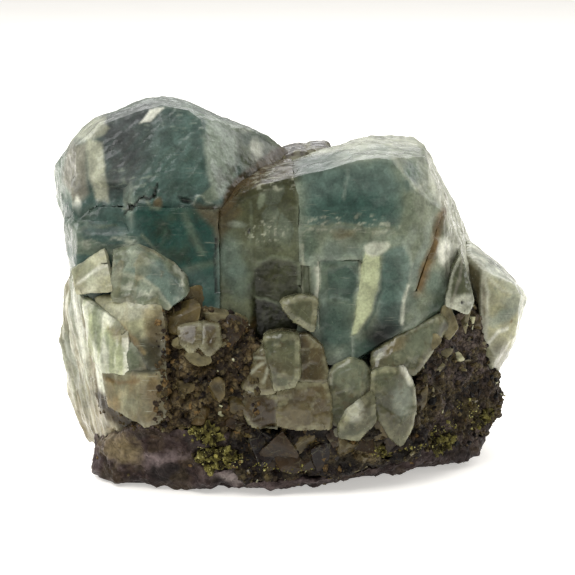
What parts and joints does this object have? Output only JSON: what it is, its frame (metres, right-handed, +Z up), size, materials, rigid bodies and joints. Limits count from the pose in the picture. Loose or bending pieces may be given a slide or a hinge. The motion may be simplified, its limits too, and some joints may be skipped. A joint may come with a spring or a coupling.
{
  "type": "fluorite specimen",
  "caption": "Natural mineral specimen: intergrown translucent green cube crystals with pale cleavage faces on a brown druse and dark purple matrix, standing on a flat underside.",
  "frame": {"origin": "centre of the specimen's box, on the surface it stands on", "axes": "+X to the right of the show face, +Y from the show face to the back, +Z up"},
  "size_m": [0.112, 0.06, 0.0866],
  "materials": {
    "fluorite_green": "vitreous, dark teal to grey-green with purple-grey bloom, scuffed",
    "fluorite_pale": "vitreous, pale green cleavage faces",
    "quartz_smoky": "glassy, smoky grey-brown",
    "druse_brown": "sandy crust of tiny sparkling crystals",
    "matrix_purple": "rough broken rock with frosty lavender patches",
    "lichen_green": "matt crusty lobes"
  },
  "bodies": {
    "root": {"left_crystal": "fluorite_green", "centre_crystal": "fluorite_green", "right_crystal": "fluorite_green", "notch_crystal_left": "quartz_smoky", "notch_crystal_right": "quartz_smoky", "pale_shard_crystal": "fluorite_pale", "round_faced_crystal": "fluorite_green", "shoulder_crystal": "fluorite_pale", "pale_column_crystal": "fluorite_pale", "teal_column_crystal": "fluorite_green", "step_crystal": "fluorite_pale", "left_flank_crystal": "fluorite_pale", "pointed_crystal": "fluorite_pale", "side_crystal": "fluorite_pale", "front_crystal_top": "quartz_smoky", "front_crystal_upper": "quartz_smoky", "front_crystal_upper_right": "quartz_smoky", "front_crystal_left": "quartz_smoky", "front_crystal_lower_left": "quartz_smoky", "front_crystal_lower_right": "quartz_smoky", "front_crystal_round": "quartz_smoky", "front_crystal_knob": "quartz_smoky", "front_crystal_ramp": "quartz_smoky", "front_crystal_right": "quartz_smoky", "druse_crystal_left": "quartz_smoky", "druse_crystal_right": "quartz_smoky", "lichen_left_upper": "lichen_green", "lichen_left_lower": "lichen_green", "lichen_middle": "lichen_green", "lichen_right": "lichen_green", "lichen_edge": "lichen_green", "left_druse": "druse_brown", "front_druse": "druse_brown", "right_druse": "druse_brown", "matrix_base": "matrix_purple"}
  },
  "joints": []
}
